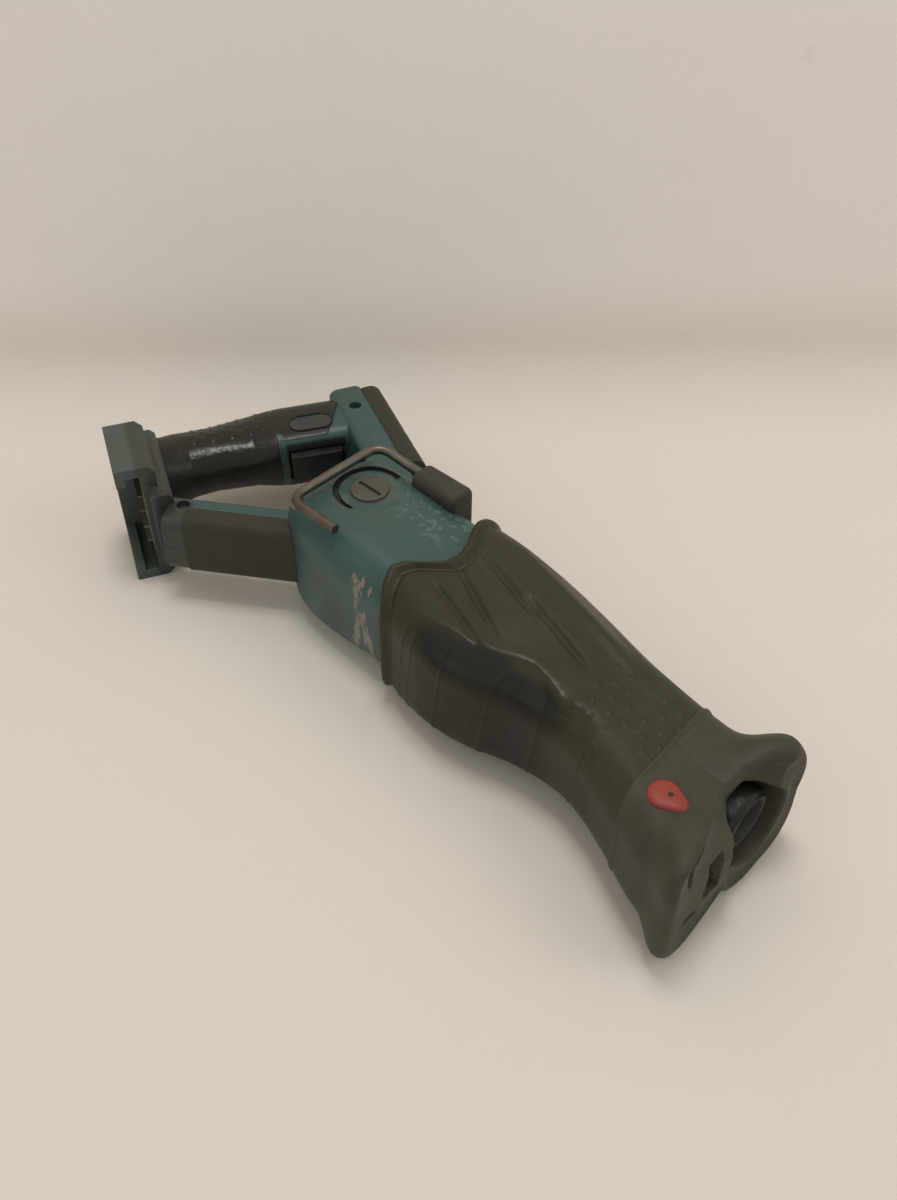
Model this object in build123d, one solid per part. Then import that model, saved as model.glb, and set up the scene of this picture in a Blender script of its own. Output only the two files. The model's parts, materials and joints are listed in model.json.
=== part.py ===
from build123d import *
import os
from math import cos, radians, sin

# Bare cordless reciprocating saw, lying on its left side.
# +X runs from the battery foot to the blade end, +Y to the tool's top, +Z to its right side.
# Parts are drawn about the blade line (y = 0, z = 0, x = 0 near the motor brushes) and are moved
# at the end so that the origin is the bottom centre of the whole tool.

# ---- driving dimensions, mm ----
FOOT_WIDTH = 79.0
FOOT_LENGTH = 45.0
FOOT_TILT = -27.0
MOTOR_HALF_WIDTH = 38.0
MOTOR_AXIS_Y = 11.0
BRUSH_X = -3.0
CAP_RADIUS = 10.3
CAP_CENTRE_Y = MOTOR_AXIS_Y + 4.0
CAP_RECESS_RADIUS = 20.0
MOTOR_CAVITY_RADIUS = 29.0
GRIP_ANGLE = 60.0
GRIP_SKIN = 2.4
STRUT_HALF_WIDTH = 20.5
LOWER_STRUT_HALF_WIDTH = 18.0
BOOT_SKIN = 3.0
GEAR_CASE_WALL = 4.5
GEAR_AXIS_X = 118.0
GEAR_RADIUS = 27.5
PINION_RADIUS = 6.0
PINION_TEETH = 9
GEAR_TEETH = 45
STROKE = 32.0
SAW_SHAFT_RADIUS = 8.0
FLANGE_FRONT_X = 259.0
NOSE_HALF_WIDTH = 34.5
FLANGE_THICKNESS = 11.0
NOSE_OPENING_RADIUS = 21.0
SLEEVE_RADIUS = 17.5
HOOK_WIRE = 5.2
SHOE_BUTTON_XY = (228.0, -33.5)
SHOE_SLOT_Y = (-39.0, -28.0)
HOOK_PIVOT_Y = 40.5
HOOK_PIVOT_Z = 41.0
RUNNING_GAP = 0.05
CLEAR = 0.35
SCREW_RADIUS = 2.0
SCREW_HEAD_RADIUS = 3.6

# boot stations along the blade line: x, lowest y, highest y, half width, corner radius
BOOT_STATIONS = [
    (58, -37.5, 49.0, 38.0, 20),
    (80, -42.0, 48.5, 37.8, 20),
    (100, -44.5, 46.5, 37.0, 20),
    (120, -42.5, 43.5, 36.0, 20),
    (145, -35.5, 38.5, 34.5, 20),
    (172, -34.5, 33.0, 32.0, 20),
    (190, -39.0, 30.0, 30.5, 19),
    (210, -47.5, 27.0, 29.5, 18),
    (232, -58.0, 25.0, 29.0, 17),
    (248, -61.5, 25.0, 30.0, 17),
]

# grip stations along the grip line: distance from the grip's middle, front offset, depth, width
GRIP_STATIONS = [
    (-88, 3.0, 46.0, 38.0),
    (-62, 0.0, 42.0, 35.0),
    (-38, -1.5, 46.0, 36.0),
    (-12, -1.0, 46.5, 37.5),
    (16, 1.0, 46.0, 38.0),
]

# centre of the whole tool's box, and its lowest side, in drawing coordinates
BOX_CENTRE_X = 52.18
BOX_CENTRE_Y = 16.54
LOWEST_Z = -FOOT_WIDTH / 2


# ---- small helpers ----
def block(x0, x1, y0, y1, z0, z1):
    """Box between two corners."""
    middle = Pos((x0 + x1) / 2, (y0 + y1) / 2, (z0 + z1) / 2)
    return middle * Box(x1 - x0, y1 - y0, z1 - z0)


def rod_x(radius, x0, x1, y=0.0, z=0.0):
    """Round bar along X."""
    return Pos((x0 + x1) / 2, y, z) * Rot(0, 90, 0) * Cylinder(radius, x1 - x0)


def rod_y(radius, y0, y1, x=0.0, z=0.0):
    """Round bar along Y."""
    return Pos(x, (y0 + y1) / 2, z) * Rot(90, 0, 0) * Cylinder(radius, y1 - y0)


def rod_z(radius, z0, z1, x=0.0, y=0.0):
    """Round bar along Z."""
    return Pos(x, y, (z0 + z1) / 2) * Cylinder(radius, z1 - z0)


def ring_x(outer, inner, x0, x1, y=0.0, z=0.0):
    """Round tube along X."""
    return rod_x(outer, x0, x1, y, z) - rod_x(inner, x0 - 1, x1 + 1, y, z)


def section_yz(x, y_low, y_high, half_width, radius):
    """Rounded rectangle across the blade line."""
    plane = Plane(origin=(x, (y_low + y_high) / 2, 0), x_dir=(0, 1, 0), z_dir=(1, 0, 0))
    return plane * RectangleRounded(y_high - y_low, 2 * half_width, radius)


def barrel(stations, inset=0.0):
    """Smooth skin through the stations, drawn in by an inset."""
    sections = []
    for x, y_low, y_high, half_width, radius in stations:
        corner = max(radius - inset, 2.0)
        sections.append(section_yz(x, y_low + inset, y_high - inset, half_width - inset, corner))
    return loft(sections)


def solids_of(shape):
    """One compound holding every solid of a shape."""
    return Compound(list(shape.solids()))


# ---- local frames of the handle ----
def frame_at(origin_x, origin_y, angle):
    """Frame in the tool's middle plane: local x along the angle, local z along +Z."""
    direction = (cos(radians(angle)), sin(radians(angle)), 0)
    return Plane(origin=(origin_x, origin_y, 0), x_dir=direction, z_dir=(0, 0, 1))


# grip frame: local x up the grip, local y towards the back of the hand, origin at trigger height
GRIP = frame_at(-98.0, 55.6, GRIP_ANGLE)
# foot frame: local x towards the front, local y away from the open side
FOOT = frame_at(-123.5, -54.0, FOOT_TILT)
# top strut frame: local x forwards along the strut, local y outwards, origin at the shoulder
TOP_STRUT = frame_at(-84.0, 84.0, -25.0)
# lower strut frame: local x forwards along the strut, local y towards the hand opening
LOWER_STRUT = frame_at(-86.0, -53.0, 34.0)


def framed(frame, x0, x1, y0, y1, half_width, radius):
    """Rounded bar along a local frame's x, rounded on its four long edges."""
    bar = Pos((x0 + x1) / 2, (y0 + y1) / 2, 0) * Box(x1 - x0, y1 - y0, 2 * half_width)
    edges = bar.edges().filter_by(Axis.X)
    return frame * fillet(edges, radius)


def grip_form(inset=0.0, low=-88.0, high=16.0):
    """Oval hand grip, drawn in by an inset."""
    sections = []
    for along, offset, depth, width in GRIP_STATIONS:
        centre = GRIP.from_local_coords((along, -3.0 - offset, 0))
        plane = Plane(origin=centre, x_dir=GRIP.y_dir, z_dir=GRIP.x_dir)
        sections.append(plane * Ellipse(depth / 2 - inset, width / 2 - inset))
    form = loft(sections)
    keep = GRIP * Pos((low + high) / 2, 0, 0) * Box(high - low, 90, 60)
    return form & keep


# ---- housing shells ----
def foot_block():
    """Battery foot: stepped block with a channel open below and in front."""
    body = Pos(-2, -1, 0) * Box(FOOT_LENGTH, 22, FOOT_WIDTH)
    body = chamfer(body.edges().filter_by(Axis.X).group_by(Axis.Y)[-1], 4)
    crown = Pos(-2.5, 10.5, 0) * Box(FOOT_LENGTH + 19, 12, 50)
    crown = chamfer(crown.edges().filter_by(Axis.X).group_by(Axis.Y)[-1], 3)
    return FOOT * (body + crown)


def foot_channel():
    """Space the battery slides into: wide pocket above two inward rails."""
    pocket = Pos(5.5, -2.5, 0) * Box(50, 8, 67)
    mouth = Pos(5.5, -11, 0) * Box(50, 12, 57)
    return FOOT * (pocket + mouth)


def motor_shell():
    """Motor housing outside, from the rear of the motor to under the boot's lip."""
    stations = [
        (-31, -20.0, 41.0, MOTOR_HALF_WIDTH - 2, 13),
        (-12, -29.0, 45.0, MOTOR_HALF_WIDTH, 17),
        (20, -32.0, 45.5, MOTOR_HALF_WIDTH, 20),
        (54, -33.0, 45.5, 34.8, 20),
        (69.3, -33.5, 45.0, 34.0, 19),
    ]
    return barrel(stations)


def hand_block():
    """Teal block round the trigger, between the grip and the top strut."""
    return framed(GRIP, -24, 30, -22, 17, 18.5, 9)


def housing_outside():
    """Outside of both clamshell halves together."""
    core = grip_form(GRIP_SKIN) + hand_block()
    core += framed(TOP_STRUT, -18, 84, -15, 6, STRUT_HALF_WIDTH, 5)
    core += framed(LOWER_STRUT, -6, 84, -14, 11.5, LOWER_STRUT_HALF_WIDTH - 0.2, 6)
    return core + foot_block() + motor_shell()


def lower_pad_form(inset=0.0):
    """Outer part of the lower strut, which the rubber pad covers."""
    return framed(LOWER_STRUT, 6, 78, -14 - inset, 3, LOWER_STRUT_HALF_WIDTH + 1.4 - inset, 7)


def trigger_pocket():
    """Hollow for the switch and the trigger, open at the grip's front."""
    switch_room = GRIP * Pos(-2, 1.0, 0) * Box(42, 28, 22)
    mouth = GRIP * Pos(-2, -18, 0) * Box(33, 24, 20)
    lock_hole = GRIP * Pos(-2, -9, 0) * extrude(SlotOverall(26, 13), 25, both=True)
    return switch_room + mouth + lock_hole


def brush_cap_bore():
    """Round recess and through hole for a brush cap on each side."""
    x, y = BRUSH_X, CAP_CENTRE_Y
    recess = rod_z(CAP_RECESS_RADIUS, 36.9, 45, x, y)
    crescent = rod_z(CAP_RECESS_RADIUS, 34.5, 45, x, y) - rod_z(CAP_RECESS_RADIUS - 3.5, 30, 50, x, y)
    crescent -= block(x + 4, x + 60, y - 60, y + 60, 20, 60)
    right = recess + crescent + rod_z(CAP_RADIUS + 0.15, 25, 45, x, y)
    return right + mirror(right, Plane.XY)


def housing_hollows():
    """Everything cut out of the clamshell halves."""
    motor_room = rod_x(MOTOR_CAVITY_RADIUS, -24, 80, MOTOR_AXIS_Y)
    strut_room = framed(TOP_STRUT, -6, 62, -10, 2, 14, 4)
    lower_room = framed(LOWER_STRUT, 14, 66, -8, 6, 11, 4)
    wire_way = GRIP * Pos(-48, 3, 0) * Box(56, 14, 14)
    screw_holes = screw_group(SCREW_RADIUS + RUNNING_GAP, SCREW_HEAD_RADIUS + 0.2, 12.0)
    hollow = motor_room + strut_room + lower_room + wire_way + trigger_pocket()
    hollow += foot_channel() + brush_cap_bore() + screw_holes
    return hollow + terminal_room() + case_screw_set(RUNNING_GAP)


def terminal_room():
    """Slot in the foot's roof that the terminal block fills."""
    return FOOT * Pos(0, 6.2, 0) * Box(34.4, 10.4, 44.4)


def screw_sites():
    """Middle of each housing screw, with the half width of the housing there."""
    shoulder = TOP_STRUT.from_local_coords((2, -4.5, 0))
    corner = LOWER_STRUT.from_local_coords((2, 2.5, 0))
    return [
        (shoulder.X, shoulder.Y, STRUT_HALF_WIDTH),
        (corner.X, corner.Y, LOWER_STRUT_HALF_WIDTH),
        (-27.0, 30.0, 36.0),
        (-26.0, -17.0, 36.0),
    ]


def screw_group(shank, head, extra):
    """Housing screws driven from the right side, heads sunk below it."""
    group = None
    for x, y, half_width in screw_sites():
        top = half_width - 4.0
        screw = rod_z(shank, -half_width + 9 - CLEAR, top - 2.9, x, y)
        screw += rod_z(head, top - 3.0, top + extra, x, y)
        group = screw if group is None else group + screw
    return group


def housing_halves(outside):
    """Right and left clamshell halves, split on the middle plane."""
    whole = outside - housing_hollows()
    whole -= lower_pad_form()
    right = whole & block(-220, 300, -150, 150, 0.05, 60)
    left = whole & block(-220, 300, -150, 150, -60, -0.05)
    return right, left


# ---- rubber and outer trim ----
def grip_sleeve():
    """Rubber sleeve over the lower grip, around the back of the hand."""
    sleeve = grip_form(0.0, -84.0, -25.0) - grip_form(GRIP_SKIN, -90.0, 20.0)
    sleeve -= foot_block()
    sleeve -= framed(LOWER_STRUT, -6, 84, -14, 11.5, LOWER_STRUT_HALF_WIDTH - 0.2, 6)
    return sleeve - lower_pad_form()


def back_pad(outside):
    """Rubber pad behind the trigger, from the grip sleeve to the shoulder."""
    pad = framed(GRIP, -24.8, 22, 6, 19.5, 17.5, 6)
    return pad - outside - top_pad_form()


def top_pad_form():
    """Outside of the top strut's rubber pad."""
    return framed(TOP_STRUT, -16, 66, 0, 18, STRUT_HALF_WIDTH - 1.0, 8)


def top_pad():
    """Rubber pad along the top strut with finger notches."""
    pad = top_pad_form()
    pad -= framed(TOP_STRUT, -18, 84, -15, 6, STRUT_HALF_WIDTH, 5)
    pad -= hand_block()
    pad -= framed(TOP_STRUT, -6, 62, -10, 2, 14, 4)
    for along in (31, 47):
        notch = TOP_STRUT.from_local_coords((along, 20.5, 0))
        pad -= rod_z(4.5, -30, 30, notch.X, notch.Y)
    return pad


def lower_pad():
    """Rubber pad round the outer side of the lower strut."""
    pad = lower_pad_form() - framed(LOWER_STRUT, 14, 66, -8, 6, 11, 4)
    pad -= foot_block() + motor_shell()
    return pad - screw_group(SCREW_RADIUS + 1, SCREW_HEAD_RADIUS + 1, 12.0)


def top_bumper():
    """Black block on the motor housing's top corner that holds the hook's pivot."""
    bumper = block(9, 41, 33, 50, -34, 44)
    bumper = fillet(bumper.edges().filter_by(Axis.X).group_by(Axis.Z)[-1], 6)
    bumper = fillet(bumper.edges().filter_by(Axis.Z), 3)
    bumper -= motor_shell()
    bumper -= rod_x(HOOK_WIRE / 2 + RUNNING_GAP, 0, 34, HOOK_PIVOT_Y, HOOK_PIVOT_Z)
    return bumper


def wire_hook():
    """Bent wire hanging hook: pivot leg, cross leg and free leg with round bends."""
    y_free = -25.0
    x_back = -21.0
    level = HOOK_PIVOT_Z + 3.0
    points = [
        (33.5, HOOK_PIVOT_Y, HOOK_PIVOT_Z),
        (3.0, HOOK_PIVOT_Y, HOOK_PIVOT_Z),
        (x_back, HOOK_PIVOT_Y - 1.0, level),
        (x_back, y_free, level),
        (14.0, y_free, level),
    ]
    path = FilletPolyline(*points, radius=[14.0, 9.0, 9.0])
    start = Plane(origin=points[0], z_dir=(-1, 0, 0))
    return sweep(start * Circle(HOOK_WIRE / 2), path=path)


# ---- motor ----
def stator():
    """Steel can and four magnets round the armature."""
    can = ring_x(28.6, 26.2, 8, 68, MOTOR_AXIS_Y)
    magnets = []
    shell = ring_x(26.1, 21.0, 12, 60, MOTOR_AXIS_Y)
    for quarter in range(4):
        wedge = block(12, 60, 0, 40, -13, 13)
        wedge = Pos(0, MOTOR_AXIS_Y, 0) * Rot(90 * quarter + 45, 0, 0) * wedge
        magnets.append(shell & wedge)
    return can, Compound([part for magnet in magnets for part in magnet.solids()])


def brush_gear():
    """Holder tube, carbon brush, spring and cap on each side of the commutator."""
    x, y = BRUSH_X, MOTOR_AXIS_Y
    holder = block(x - 6, x + 6, y - 5.5, y + 5.5, 12.5, 28.5)
    holder -= block(x - 4.1, x + 4.1, y - 3.1, y + 3.1, 10, 30)
    brush = block(x - 4, x + 4, y - 3, y + 3, 9.8, 20.0)
    spring = rod_z(2.6, 20.1, 28.0, x, y) - rod_z(1.6, 20.0, 28.1, x, y)
    cap = rod_z(CAP_RADIUS, 28.8, 38.0, x, CAP_CENTRE_Y)
    cap -= block(x - 8, x + 8, CAP_CENTRE_Y - 1.2, CAP_CENTRE_Y + 1.2, 36.2, 40)
    cap -= rod_z(7.5, 28.0, 33.5, x, CAP_CENTRE_Y)
    return holder, brush, spring, cap


def both_sides(shape):
    """A piece and its mirror image as separate solids."""
    return Compound(list(shape.solids()) + list(mirror(shape, Plane.XY).solids()))


def armature():
    """Turning parts of the motor."""
    y = MOTOR_AXIS_Y
    shaft = rod_x(4.0, -20.5, 96.0, y)
    core = ring_x(20.0, 4.0, 16, 56, y)
    for slot in range(12):
        groove = Pos(0, y, 0) * Rot(30 * slot, 0, 0) * block(15, 57, 15.5, 21, -1.2, 1.2)
        core -= groove
    windings = ring_x(17.0, 4.0, 9.5, 15.9, y) + ring_x(17.0, 4.0, 56.1, 60.5, y)
    commutator = ring_x(9.6, 4.0, -7, 9.4, y)
    fan = ring_x(9.0, 4.0, 61, 68, y) + ring_x(24.5, 8.0, 67, 68.5, y)
    for blade in range(11):
        vane = Pos(0, y, 0) * Rot(360 / 11 * blade, 0, 0) * block(62, 68, 8, 24, -0.7, 0.7)
        fan += vane
    pinion = ring_x(PINION_RADIUS - 1.2, 4.0, 85.0, 95.0, y)
    for tooth in range(PINION_TEETH):
        spin = Rot(360 / PINION_TEETH * tooth, 0, 0)
        pinion += Pos(0, y, 0) * spin * block(85.0, 95.0, 4.3, PINION_RADIUS, -0.8, 0.8)
    return shaft, core, solids_of(windings), commutator, fan, pinion


def ball_bearing_x(bore, outer, width, x, y=0.0):
    """Closed ball bearing about X."""
    return ring_x(outer, bore, x, x + width, y)


# ---- gear case and drive ----
GEAR_LOW_Y = MOTOR_AXIS_Y + PINION_RADIUS + CLEAR
GEAR_HIGH_Y = GEAR_LOW_Y + 6.0
YOKE_TOP_Y = -1.4
BEARING_LOW_Y = GEAR_HIGH_Y + 3.75


def gear_case():
    """Cast case: hollow round the crank, solid nose with the saw shaft's bore."""
    case = barrel(BOOT_STATIONS, BOOT_SKIN) & block(77, 240, -80, 80, -60, 60)
    inset = BOOT_SKIN + GEAR_CASE_WALL
    room = barrel(BOOT_STATIONS, inset) & block(70, 176, -80, 80, -60, 60)
    case -= room
    case -= rod_x(12.0, 170, 205)
    case -= rod_x(NOSE_OPENING_RADIUS, 200, 280)
    # slot that takes the shoe's flat bar, with the lock button's cross hole
    case -= block(204, 280, *SHOE_SLOT_Y, -13.0, 13.0)
    case -= rod_z(7.0, -40, 40, *SHOE_BUTTON_XY)
    case -= teardrop(0.8, 22.0, 50.0)
    boss = rod_y(15.0, BEARING_LOW_Y - 0.7, 60.0, GEAR_AXIS_X) & barrel(BOOT_STATIONS, BOOT_SKIN + 1.0)
    case += boss
    # seat of the gear shaft's bearing, and room for the shaft's end above it
    case -= rod_y(11.02, 20.0, BEARING_LOW_Y + 7.3, GEAR_AXIS_X)
    return case - rod_y(6.0, 20.0, BEARING_LOW_Y + 10.4, GEAR_AXIS_X)


def bearing_plate():
    """Plate between motor and gear case that seats the front motor bearing."""
    plate = barrel(BOOT_STATIONS, BOOT_SKIN + GEAR_CASE_WALL + 0.1) & block(69.5, 80.5, -80, 80, -60, 60)
    plate -= rod_x(11.02, 71.5, 90, MOTOR_AXIS_Y)
    return plate - rod_x(6.0, 60, 90, MOTOR_AXIS_Y) - case_screw_set(RUNNING_GAP)


def crank_gear():
    """Toothed disc turned by the pinion."""
    x = GEAR_AXIS_X
    disc = rod_y(GEAR_RADIUS - 3, GEAR_LOW_Y + 1.5, GEAR_HIGH_Y, x) - rod_y(5.0, 0, 40, x)
    for tooth in range(GEAR_TEETH):
        spin = Pos(x, 0, 0) * Rot(0, 360 / GEAR_TEETH * tooth, 0)
        disc += spin * block(GEAR_RADIUS - 6, GEAR_RADIUS, GEAR_LOW_Y, GEAR_HIGH_Y - 1, -0.9, 0.9)
    return disc - rod_y(4.0, 0, 40, x, STROKE / 2)


def drive_pins():
    """Gear shaft and the crank pin that stands down from the gear."""
    shaft = rod_y(5.0, GEAR_LOW_Y + 1.5, BEARING_LOW_Y + 9.0, GEAR_AXIS_X)
    pin = rod_y(4.0, YOKE_TOP_Y + CLEAR, GEAR_HIGH_Y, GEAR_AXIS_X, STROKE / 2)
    return shaft, pin


def saw_shaft():
    """Sliding bar with a cross yoke at its rear and a round shank in front."""
    x = GEAR_AXIS_X
    yoke = block(x - 11, x + 11, YOKE_TOP_Y - 11.0, YOKE_TOP_Y, -25, 25)
    yoke -= block(x - 4.5, x + 4.5, -20.0, 5.0, -20.5, 20.5)
    shank = rod_x(SAW_SHAFT_RADIUS, x + 38, 222)
    neck = block(x + 10, x + 40, YOKE_TOP_Y - 11.0, YOKE_TOP_Y, -7.5, 7.5) & rod_x(14.5, x, x + 60)
    return yoke + shank + neck


def blade_clamp():
    """Clamp body on the shaft's nose with the blade slot, its pin and its twist sleeve."""
    body = rod_x(11.0, 222, 244) - block(228, 260, -7.5, 7.5, -1.0, 1.0)
    body -= rod_z(2.5, -20, 20, 236, 0)
    lock_pin = rod_z(2.4, 1.2, 10.8, 236, 0)
    sleeve = ring_x(SLEEVE_RADIUS, 11.3, 224, 253)
    sleeve -= rod_x(14.0, 247, 260)
    for rib in range(3):
        groove = Rot(120 * rib, 0, 0) * block(228, 249, 16.4, 20, -3, 3)
        sleeve -= groove
    return body, lock_pin, sleeve


def clamp_spring():
    """Torsion spring behind the clamp sleeve, as a plain ring."""
    return ring_x(13.5, 11.1, 218.5, 221.8) & block(210, 230, -20, 20, -20, 20)


def shaft_bushes():
    """Sleeve bushes that guide the saw shaft, and the dust seal in front of them."""
    bore = SAW_SHAFT_RADIUS + RUNNING_GAP
    rear = ring_x(11.98, bore, 177, 186)
    front = ring_x(11.98, bore, 187, 195)
    seal = ring_x(11.98, bore, 195.5, 199)
    return rear, front, seal


# ---- nose ----
def teardrop(margin, z0, z1):
    """Drop shape of the shoe lock button, round behind and pointed in front."""
    x, y = SHOE_BUTTON_XY
    radius = 8.0 + margin
    tip = make_face(Polyline((2, radius * 0.97), (13.5 + margin, 0), (2, -radius * 0.97), close=True))
    return extrude(Pos(x - 2, y, z0) * (Circle(radius) + tip), z1 - z0)


def rubber_boot():
    """Rubber cover over the gear case with a thick rolled rear lip."""
    outside = barrel(BOOT_STATIONS)
    lip = barrel(BOOT_STATIONS, -1.5) & block(60, 67, -90, 90, -60, 60)
    boot = (outside & block(60, FLANGE_FRONT_X - FLANGE_THICKNESS, -90, 90, -60, 60)) + lip
    boot -= barrel(BOOT_STATIONS, BOOT_SKIN)
    boot -= teardrop(1.0, 15.0, 60.0)
    # raised ribs across the top
    for rib in range(9):
        x = 88 + rib * 13.0
        top = 48.6 - (x - 80) * 0.195
        boot += block(x, x + 6, top - 2.5, top + 1.6, -13, 13) - barrel(BOOT_STATIONS, BOOT_SKIN)
    return boot


def nose_flange():
    """Flared guard at the nose: ears, side lobe, lower lobe, blade opening and shoe slot."""
    x0 = FLANGE_FRONT_X - FLANGE_THICKNESS
    plane = Plane(origin=(x0, 0, 0), x_dir=(0, 1, 0), z_dir=(1, 0, 0))
    ears = plane * Pos(9.5, 0) * RectangleRounded(53, 2 * NOSE_HALF_WIDTH, 17)
    lobe = plane * Pos(-43.5, 0) * RectangleRounded(43, 2 * NOSE_HALF_WIDTH - 1, 15)
    waist = plane * Pos(-20, 0) * Rectangle(30, 46)
    side_lobe = plane * Pos(5.5, -29.5) * RectangleRounded(31, 20, 8)
    flange = extrude(ears + lobe + waist + side_lobe, FLANGE_THICKNESS)
    flange -= rod_x(NOSE_OPENING_RADIUS, 230, 280)
    flange -= block(230, 280, *SHOE_SLOT_Y, -13.0, 13.0)
    # the right ear stands a little behind the rest of the guard
    return flange - block(FLANGE_FRONT_X - 5, 280, -16, 40, 28.5, 60)


def shoe_lock():
    """Push button across the nose, leaf spring and wedge plate that hold the shoe's bar."""
    x, y = SHOE_BUTTON_XY
    button = rod_z(6.85, -22, 27, x, y) - block(x - 10, x + 10, y - 5, y + 5, -12.9, 12.9)
    stem = block(x - 5.5, x - 2.5, y - 3.8, y + 3.8, -14, 14)
    return button + stem + teardrop(0.0, 25.6, 29.6)


# ---- electrics ----
def switch_parts():
    """Switch body behind the trigger, its coil spring and the speed controller board."""
    body = GRIP * Pos(-2, 9.0, 0) * Box(38, 11.8, 18)
    spring = GRIP * Pos(-15.2, -2.0, 0) * Rot(90, 0, 0) * (Cylinder(2.6, 9.8) - Cylinder(1.8, 10))
    board = LOWER_STRUT * Pos(40, -1, 0) * Box(44, 2, 18)
    return body, spring, board


def trigger():
    """Finger trigger sliding straight back into the grip."""
    pad = GRIP * Pos(-2, -21.0, 0) * Box(31.6, 13, 17.6)
    return fillet(pad.edges().group_by(Axis.X)[-1], 3)


def lock_button():
    """Cross button over the trigger with an oval end on each side."""
    ends = GRIP * Pos(-2, -9, 0) * extrude(SlotOverall(25.2, 12.2), 19.6, both=True)
    gap = GRIP * Pos(-2, -9, 0) * Box(60, 60, 24.6)
    return ends - gap + GRIP * Pos(-2, -6, 0) * Box(18, 5, 26)


def terminals():
    """Terminal block in the foot's roof and the contact blades under it."""
    base = FOOT * Pos(0, 6.2, 0) * Box(34, 10, 44)
    blades = []
    for offset in (-16, -6, 6, 16):
        base -= FOOT * Pos(3, 2.2, offset) * Box(26, 3.0, 1.4)
        blades.append(FOOT * Pos(3, 0.8, offset) * Box(24, 5.4, 1.2))
    return base, Compound([blade for shape in blades for blade in shape.solids()])


def case_screw_set(gap=0.0):
    """Four screws holding the motor housing to the bearing plate."""
    group = None
    for y, z in ((-22.0, -23.0), (-22.0, 23.0), (37.0, -22.0), (37.0, 22.0)):
        screw = rod_x(2.2 + gap, 62, 77 + gap, y, z)
        screw += rod_x(4.0 + gap, 58 - gap, 62 + gap, y, z)
        group = screw if group is None else group + screw
    return group


def build():
    """Every named piece in drawing coordinates."""
    pieces = {}
    outside = housing_outside()
    pieces["housing_right"], pieces["housing_left"] = housing_halves(outside)
    pieces["grip_sleeve"] = grip_sleeve()
    pieces["back_pad"] = back_pad(outside)
    pieces["top_pad"] = top_pad()
    pieces["lower_pad"] = lower_pad()
    pieces["top_bumper"] = top_bumper()
    pieces["wire_hook"] = wire_hook()
    pieces["housing_screws"] = solids_of(screw_group(SCREW_RADIUS, SCREW_HEAD_RADIUS, 0.0))
    pieces["stator_can"], pieces["stator_magnets"] = stator()
    holder, brush, spring, cap = brush_gear()
    pieces["brush_holders"] = both_sides(holder)
    pieces["carbon_brushes"] = both_sides(brush)
    pieces["brush_springs"] = both_sides(spring)
    pieces["brush_cap_right"] = cap
    pieces["brush_cap_left"] = mirror(cap, Plane.XY)
    names = (
        "armature_shaft",
        "armature_core",
        "armature_windings",
        "commutator",
        "cooling_fan",
        "motor_pinion",
    )
    for name, shape in zip(names, armature()):
        pieces[name] = shape
    pieces["rear_motor_bearing"] = ball_bearing_x(4.0 + RUNNING_GAP, 9.5, 6, -20, MOTOR_AXIS_Y)
    pieces["front_motor_bearing"] = ball_bearing_x(4.0 + RUNNING_GAP, 11.0, 7, 71.6, MOTOR_AXIS_Y)
    pieces["bearing_plate"] = bearing_plate()
    pieces["gear_case"] = gear_case()
    gear_bearing = rod_y(11.0, BEARING_LOW_Y, BEARING_LOW_Y + 7.0, GEAR_AXIS_X)
    pieces["gear_bearing"] = gear_bearing - rod_y(5.0 + RUNNING_GAP, 20, 60, GEAR_AXIS_X)
    pieces["crank_gear"] = crank_gear()
    pieces["gear_shaft"], pieces["crank_pin"] = drive_pins()
    pieces["saw_shaft"] = saw_shaft()
    pieces["clamp_body"], pieces["clamp_lock_pin"], pieces["clamp_sleeve"] = blade_clamp()
    pieces["clamp_spring"] = clamp_spring()
    pieces["rear_bush"], pieces["front_bush"], pieces["shaft_seal"] = shaft_bushes()
    pieces["rubber_boot"] = rubber_boot()
    pieces["nose_flange"] = nose_flange()
    pieces["shoe_lock_button"] = shoe_lock()
    pieces["switch_body"], pieces["trigger_spring"], pieces["control_board"] = switch_parts()
    pieces["trigger"] = trigger()
    pieces["lock_off_button"] = lock_button()
    pieces["terminal_block"], pieces["terminal_blades"] = terminals()
    pieces["case_screws"] = solids_of(case_screw_set())
    return pieces


os.makedirs("parts", exist_ok=True)
to_rest = Pos(-BOX_CENTRE_X, -BOX_CENTRE_Y, -LOWEST_Z)
for node_name, node_shape in build().items():
    placed = to_rest * node_shape
    placed.label = node_name
    export_step(placed, f"parts/{node_name}.step")
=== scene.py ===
import json
import math

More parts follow.
